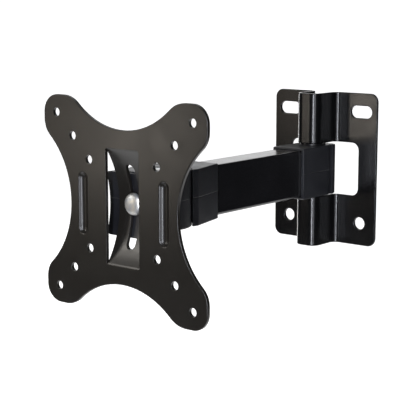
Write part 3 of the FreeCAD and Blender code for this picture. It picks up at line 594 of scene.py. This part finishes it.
# %% [markdown]
# ### Self-locking nuts
#
# A self-locking nut has a hexagon, a round collar, and a black plastic ring that the
# collar is rolled over.  The ring is its own piece, because it has its own finish.

# %% Self-locking nuts
COLLAR_STEP = 0.6 * MM            # collar's side inside the hexagon's flats
ROLLED_EDGE = 0.8 * MM


def locking_nut(node, body):
    """Hexagon above, rolled collar below, and the locking ring inside it."""
    low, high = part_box(node)
    flats = high.x - low.x
    middle = Vector(((low.x + high.x) / 2, (low.y + high.y) / 2, 0))
    collar_top = low.z + 0.25 * (high.z - low.z)
    collar = flats / 2 - COLLAR_STEP
    profile = [(M6_RADIUS, low.z + 0.9 * MM), (collar - 1.3 * MM, low.z + 0.2 * MM)]
    for step in range(CONE_STEPS + 1):
        turn = math.radians(90 * step / CONE_STEPS)
        profile.append((collar - ROLLED_EDGE * (1 - math.sin(turn)),
                        low.z + ROLLED_EDGE * (1 - math.cos(turn))))
    profile += [(collar, collar_top), (flats / 2 * 0.96, collar_top)]
    for step in range(CONE_STEPS + 1):
        share = step / CONE_STEPS
        profile.append((flats / 2 * (0.96 + 0.21 * share), collar_top + share * ROLLED_EDGE))
    profile += [(flats, collar_top + ROLLED_EDGE), (flats, high.z - 0.3 * MM)]
    profile += [(flats / 2 * 0.97, high.z), (M6_RADIUS + 0.4 * MM, high.z), (M6_RADIUS, high.z - 0.4 * MM)]
    piece = spun_piece(node + "_rolled", profile, 2 * RING_SIDES, bright_zinc, middle,
                       hexagon_limit(flats), loop=True)
    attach(piece, body)
    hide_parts(node)
    ring_low = low.z + 0.25 * MM
    ring_profile = [(M6_RADIUS + 0.05 * MM, ring_low + 0.3 * MM), (M6_RADIUS + 0.35 * MM, ring_low),
                    (collar - 1.35 * MM, ring_low), (M6_RADIUS + 0.1 * MM, ring_low + 0.75 * MM)]
    ring = spun_piece(node + "_ring", ring_profile, RING_SIDES, black_acetal, middle, loop=True)
    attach(ring, body)
    print(node, "collar", round(2 * collar / MM, 1), "mm")


locking_nut("wall_pivot_nut", "wall_bracket")
locking_nut("head_pivot_nut", "swivel_head")

# %% [markdown]
# ### The tilt bolt
#
# The screen plate is clamped to the head by a carriage bolt.  Its head is a low dome
# with no hexagon, and a square neck under it keeps it from turning in the slot.  Cold
# forming leaves the dome a little flat on top, with a soft edge.

# %% Tilt bolt
DOME_STEPS = 10
DOME_HEIGHT = 2.3 * MM
DOME_RIM = 1.0 * MM
DOME_EDGE = 0.3 * MM
RIM_BREAK = 0.15 * MM
NECK_LENGTH = 3.4 * MM
NECK_CORNER = 1.32                # share of the thread's radius where the square's corners are rounded
TOWARDS_SCREEN = Matrix.Rotation(math.radians(90), 4, "X")


def square_limit(angle):
    """Greatest radius at each angle inside the square neck."""
    turned = (angle + math.pi / 4) % (math.pi / 2) - math.pi / 4
    return M6_RADIUS / math.cos(turned)


def carriage_bolt(node, body):
    """Low domed head towards -Y, square neck, threaded end towards +Y."""
    low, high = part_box(node)
    head = (high.x - low.x) / 2
    middle = (low + high) / 2
    place = Vector((middle.x, high.y, middle.z))
    top = high.y - low.y
    seat = top - DOME_HEIGHT - DOME_RIM
    thread_top = seat - NECK_LENGTH
    corner = M6_RADIUS * NECK_CORNER
    neck_profile = threaded_end(0, thread_top)
    neck_profile += [(corner, thread_top), (corner, seat), (0, seat)]
    neck = spun_piece(node + "_neck", neck_profile, RING_SIDES, bright_zinc, place, square_limit,
                      thread_groove(M6_PITCH, M6_DEPTH, 0, thread_top), turn=TOWARDS_SCREEN)
    dome_low = top - DOME_HEIGHT - DOME_EDGE
    dome_profile = [(0, seat), (head - RIM_BREAK, seat), (head, seat + RIM_BREAK), (head, dome_low)]
    for step in range(1, DOME_STEPS):
        turn = math.radians(90 * step / DOME_STEPS)
        dome_profile.append((head * math.cos(turn) ** 0.75, dome_low + (top - dome_low) * math.sin(turn)))
    dome_profile.append((0, top))
    dome = spun_piece(node + "_dome", dome_profile, RING_SIDES, bright_zinc, place, turn=TOWARDS_SCREEN)
    for piece in (neck, dome):
        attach(piece, body)
    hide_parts(node)
    print(node, "head", round(2 * head / MM, 1), "mm across")


carriage_bolt("tilt_bolt", "swivel_head")

# %% [markdown]
# ### The tilt nut
#
# The nut behind the saddle is a plain hexagon, chamfered on both faces.  It is the same
# spun shape as the bolt heads, turned to lie along the bolt.

# %% Tilt nut
NUT_CHAMFER = 0.8 * MM
BORE_BREAK = 0.4 * MM
CHAMFER_STEPS = 5


def plain_nut(node, body):
    """Chamfered hexagon nut on the tilt bolt."""
    low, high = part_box(node)
    flats = high.z - low.z
    middle = (low + high) / 2
    thick = high.y - low.y
    cone = []
    for step in range(CHAMFER_STEPS + 1):
        share = step / CHAMFER_STEPS
        cone.append((flats / 2 * (0.95 + 0.22 * share), share * NUT_CHAMFER))
    profile = [(M6_RADIUS, BORE_BREAK), (M6_RADIUS + BORE_BREAK, 0)] + cone
    profile += [(flats, NUT_CHAMFER), (flats, thick - NUT_CHAMFER)]
    profile += [(radius, thick - height) for radius, height in reversed(cone)]
    profile += [(M6_RADIUS + BORE_BREAK, thick), (M6_RADIUS, thick - BORE_BREAK)]
    turn = TOWARDS_SCREEN @ Matrix.Rotation(math.radians(90), 4, "Z")
    piece = spun_piece(node + "_chamfered", profile, 2 * RING_SIDES, bright_zinc,
                       Vector((middle.x, high.y, middle.z)), hexagon_limit(flats), loop=True, turn=turn)
    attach(piece, body)
    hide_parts(node)
    print(node, "flats", round(flats / MM, 1), "mm")


plain_nut("tilt_nut", "swivel_head")
